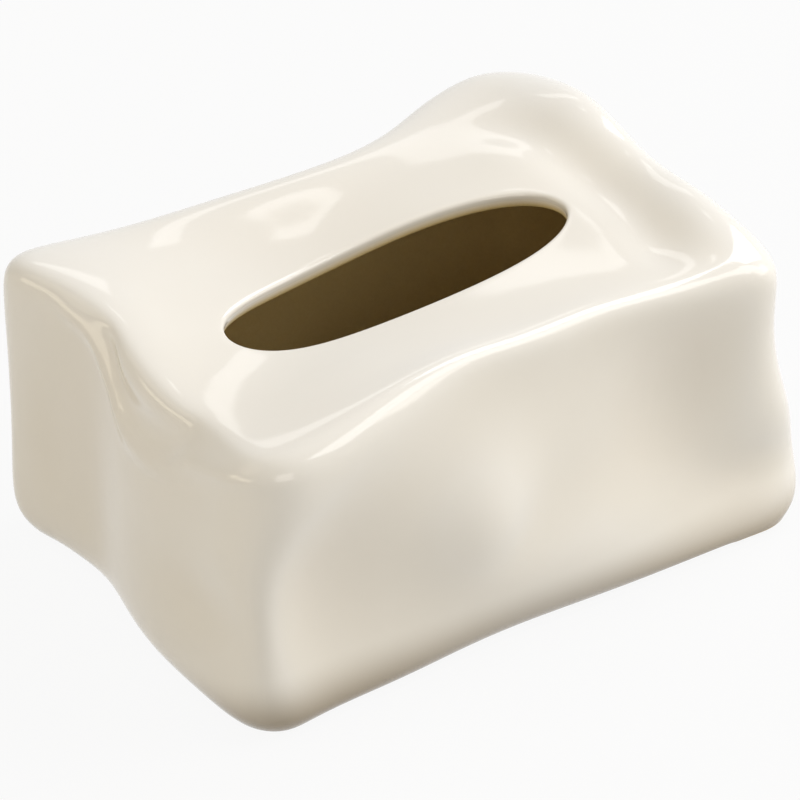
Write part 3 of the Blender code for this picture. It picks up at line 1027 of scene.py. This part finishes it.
    def build(self, finish: Material) -> Object:
        """Builds the casting as one plain closed mesh.

        Args:
            finish: The glaze.

        Returns:
            The finished piece, in place.
        """
        lowest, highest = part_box("cover_shell")
        draft = new_object("Cover draft", self.skin_mesh())
        inside = draft.vertex_groups.new(name="inside").name
        add_tree(
            draft,
            "Swelling",
            self.casting_tree(),
            {
                "Length": self.length,
                "Width": self.width,
                "Height": self.height,
                "Foot level": self.foot_level,
                "Settling height": self.settling_share * self.height,
                "Middle": ((lowest.x + highest.x) / 2, (lowest.y + highest.y) / 2, 0.0),
                "Sponge passes": self.sponge_passes,
                "Relief passes": self.relief_passes,
                "Finish": finish,
            },
        )
        add_modifier(
            draft, "Casting", "SOLIDIFY", thickness=self.wall, offset=-1, shell_vertex_group=inside
        )
        for name, width, limits in (
            ("Slot lip", self.lip_round, {"limit_method": "WEIGHT", "use_clamp_overlap": False}),
            (
                "Foot edge",
                self.foot_edge_round,
                {"limit_method": "ANGLE", "angle_limit": self.foot_edge_angle},
            ),
        ):
            add_modifier(draft, name, "BEVEL", width=width, segments=self.edge_segments, **limits)
        levels = self.skin_levels
        add_modifier(draft, "Fine skin", "SUBSURF", levels=levels, render_levels=levels)
        marks = {"Depth": self.crease_depth, "Finish": finish}
        add_tree(draft, "Thumb marks", self.crease_tree(inside), marks)
        wiping = {
            "Wiped below": self.foot_level + self.wiped_rise,
            "Wiping passes": self.wiping_passes,
            "Finish": finish,
        }
        add_tree(draft, "Wiping", self.wiping_tree(inside), wiping)
        return plain_piece(draft, "cover_glazed_casting")


def new_object(name: str, data: bpy.types.ID) -> Object:
    """Makes an object and puts it in the scene.

    Args:
        name: The object's name.
        data: Its mesh, lamp or camera.

    Returns:
        The object.
    """
    made = bpy.data.objects.new(name, data)
    bpy.context.scene.collection.objects.link(made)
    return made


def add_modifier(draft: Object, name: str, kind: str, **settings: Any) -> None:
    """Adds a modifier with its settings.

    Args:
        draft: The object that takes it.
        name: The modifier's name.
        kind: Its type name.
        **settings: Its own properties.
    """
    modifier = draft.modifiers.new(name, kind)
    for key, value in settings.items():
        setattr(modifier, key, value)


def add_tree(draft: Object, name: str, tree: Tree, values: dict[str, Any]) -> None:
    """Adds a geometry tree as a modifier, and sets its named inputs by their identifiers.

    Args:
        draft: The object that takes it.
        name: The modifier's name.
        tree: The geometry node tree.
        values: A value for each named input.
    """
    modifier = draft.modifiers.new(name, "NODES")
    modifier.node_group = tree
    for item in tree.interface.items_tree:
        if item.in_out == "INPUT" and item.name in values:
            modifier[item.identifier] = values[item.name]


def plain_piece(draft: Object, name: str) -> Object:
    """Turns a draft's evaluated shape into a plain smooth mesh and removes the draft.

    Args:
        draft: The object with its modifiers.
        name: The finished piece's name.

    Returns:
        The finished piece.
    """
    depsgraph = bpy.context.evaluated_depsgraph_get()
    mesh = bpy.data.meshes.new_from_object(
        draft.evaluated_get(depsgraph), preserve_all_data_layers=True, depsgraph=depsgraph
    )
    mesh.name = name
    mesh.shade_smooth()
    piece = new_object(name, mesh)
    bpy.data.objects.remove(draft, do_unlink=True)
    return piece


@dataclass
class FootPads:
    """The four silicone pads, which keep their solids and take a finish."""

    nodes: tuple[str, ...] = tuple(
        f"foot_pad_{row}_{side}" for row in ("front", "back") for side in ("left", "right")
    )

    def dress(self, frame: dict[str, Any], finish: Material) -> tuple[str, ...]:
        """Gives each pad the silicone finish.

        Args:
            frame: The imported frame.
            finish: The silicone.

        Returns:
            The names of the dressed pads.
        """
        for name in self.nodes:
            mesh = frame["nodes"][name].data
            mesh.materials.clear()
            mesh.materials.append(finish)
        return self.nodes


def hang(
    name: str, data: bpy.types.ID, aim: Point, azimuth: float, elevation: float, distance: float
) -> Object:
    """Puts a lamp or camera at a distance from a point, and faces it there.

    Args:
        name: The object's name.
        data: The lamp or camera.
        aim: The point that it faces.
        azimuth: 0 is in front, at -Y, and 90 is to the right, at +X, in degrees.
        elevation: The angle above the floor, in degrees.
        distance: How far away it is.

    Returns:
        The object.
    """
    turn, lift = radians(azimuth), radians(elevation)
    away = Vector((sin(turn) * cos(lift), -cos(turn) * cos(lift), sin(lift)))
    holder = new_object(name, data)
    holder.location = Vector(aim) + away * distance
    ahead = Vector(aim) - holder.location
    holder.rotation_euler = ahead.to_track_quat("-Z", "Y").to_euler()
    return holder


@dataclass(frozen=True)
class Softbox:
    """A rectangular diffused lamp, aimed at the cover."""

    name: str
    azimuth: float
    elevation: float
    width: float
    height: float
    power: float
    colour: str = WHITE
    distance: float = 1.7
    aim: Point = (0, 0, 50 * MM)

    def build(self) -> Object:
        """Hangs the lamp.

        Returns:
            The lamp.
        """
        lamp = bpy.data.lights.new(self.name, "AREA")
        lamp.shape = "RECTANGLE"
        lamp.size = self.width
        lamp.size_y = self.height
        lamp.energy = self.power
        lamp.color = linear(self.colour)[:3]
        return hang(self.name, lamp, self.aim, self.azimuth, self.elevation, self.distance)


def seen_rays(tree: Tree) -> Node:
    """Picks the rays that see the backdrop: from the camera, off gloss and through glass.

    Args:
        tree: The backdrop's tree.

    Returns:
        The node that gives 1 on those rays and 0 on the rest.
    """
    rays = add_node(tree, "ShaderNodeLightPath").outputs
    seen = rays["Is Camera Ray"]
    for name in ("Is Glossy Ray", "Is Transmission Ray"):
        seen = add_node(tree, MATH, {0: seen, 1: rays[name]}, operation="MAXIMUM")
    return seen


@dataclass
class Studio:
    """A white sweep, soft lamps and the photograph's camera."""

    azimuth: float = -35.51
    elevation: float = 33.57
    distance: float = 2.5
    pixels_per_mm: float = 3.294
    frame_pixels: float = 800
    sensor_mm: float = 36.0
    clip_end: float = 50.0
    target: Point = (0.1 * MM, 0, 44.8 * MM)
    floor_size: float = 6.0
    floor_colour: str = "CAC9C6"
    floor_glow_share: float = 0.92
    sky_colour: str = "FBF7EF"
    sky_strength: float = 0.31
    softboxes: tuple[Softbox, ...] = (
        Softbox("Front right bank", 50, 50, 0.85, 0.85, 7.8),
        Softbox("Low right bank", 60, 22, 1.0, 0.8, 7.6, "FFFAF4"),
        Softbox("Right side bank", 108, 44, 0.85, 0.9, 12, "F0F4FF"),
        Softbox("Front left fill", -27, 24, 0.8, 0.9, 4.6, "FFF9F2"),
        Softbox("Left low bank", -107, 12, 1.6, 0.5, 5.5, "FFF1D6"),
        Softbox("Left bank", -125, 42, 0.9, 0.8, 1.6, "FFF0D8"),
        Softbox("Back window", 150, 27.5, 0.54, 0.22, 0.4),
        Softbox("Back window, top light", 145, 46, 0.15, 0.09, 0.08),
        Softbox("Back top bank", 150, 68, 1.3, 1.0, 0.5),
    )

    def floor(self) -> Object:
        """Builds the pale floor, white to the camera but for the cover's own shadow.

        Returns:
            The floor.
        """
        half = self.floor_size / 2
        mesh = bpy.data.meshes.new("studio_floor")
        corners = [(-half, -half, 0), (half, -half, 0), (half, half, 0), (-half, half, 0)]
        mesh.from_pydata(corners, [], [(0, 1, 2, 3)])
        material, tree = new_material("White paper sweep")
        paper = add_node(tree, "ShaderNodeBsdfDiffuse", {"Color": linear(self.floor_colour)})
        glow = add_node(tree, "ShaderNodeEmission", {"Color": linear(WHITE), "Strength": 1.0})
        share = add_node(
            tree, MATH, {0: seen_rays(tree), 1: self.floor_glow_share}, operation="MULTIPLY"
        )
        both = add_node(tree, "ShaderNodeMixShader", {0: share, 1: paper, 2: glow})
        add_node(tree, "ShaderNodeOutputMaterial", {"Surface": both})
        mesh.materials.append(material)
        return new_object("studio_floor", mesh)

    def sky(self) -> None:
        """Lights the room evenly, and shows white behind the cover."""
        world = bpy.data.worlds.new("Pale room")
        world.use_nodes = True
        tree = world.node_tree
        tree.nodes.clear()
        room = add_node(
            tree,
            "ShaderNodeBackground",
            {"Color": linear(self.sky_colour), "Strength": self.sky_strength},
        )
        white = add_node(tree, "ShaderNodeBackground", {"Color": linear(WHITE), "Strength": 1.0})
        both = add_node(tree, "ShaderNodeMixShader", {0: seen_rays(tree), 1: room, 2: white})
        add_node(tree, "ShaderNodeOutputWorld", {"Surface": both})
        bpy.context.scene.world = world

    def camera(self) -> Object:
        """Sets up the photograph's camera.

        Returns:
            The camera.
        """
        lens = bpy.data.cameras.new("Product camera")
        lens.sensor_width = self.sensor_mm
        distance_mm = self.distance / MM
        lens.lens = self.pixels_per_mm * distance_mm / self.frame_pixels * self.sensor_mm
        lens.clip_end = self.clip_end
        camera = hang(lens.name, lens, self.target, self.azimuth, self.elevation, self.distance)
        bpy.context.scene.camera = camera
        return camera

    def build(self) -> None:
        """Builds the floor, the light and the camera."""
        self.floor()
        self.sky()
        for softbox in self.softboxes:
            softbox.build()
        self.camera()
        bpy.context.scene.view_settings.view_transform = "Standard"


def main() -> None:
    """Loads the frame, builds the cover in order and lights it."""
    logging.basicConfig(level=logging.INFO, format="%(name)s: %(message)s")
    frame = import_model()

    shell = CoverShell().build(GlazedStoneware().material())
    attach(shell, WORLD_BODY)
    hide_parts("cover_shell")
    LOG.info("casting: %d faces", len(shell.data.polygons))

    for pad in FootPads().dress(frame, SiliconeRubber().material()):
        LOG.info("%s: silicone", pad)

    studio = Studio()
    studio.build()
    LOG.info("camera at %.1f degrees round", studio.azimuth)


if __name__ == "__main__":
    main()
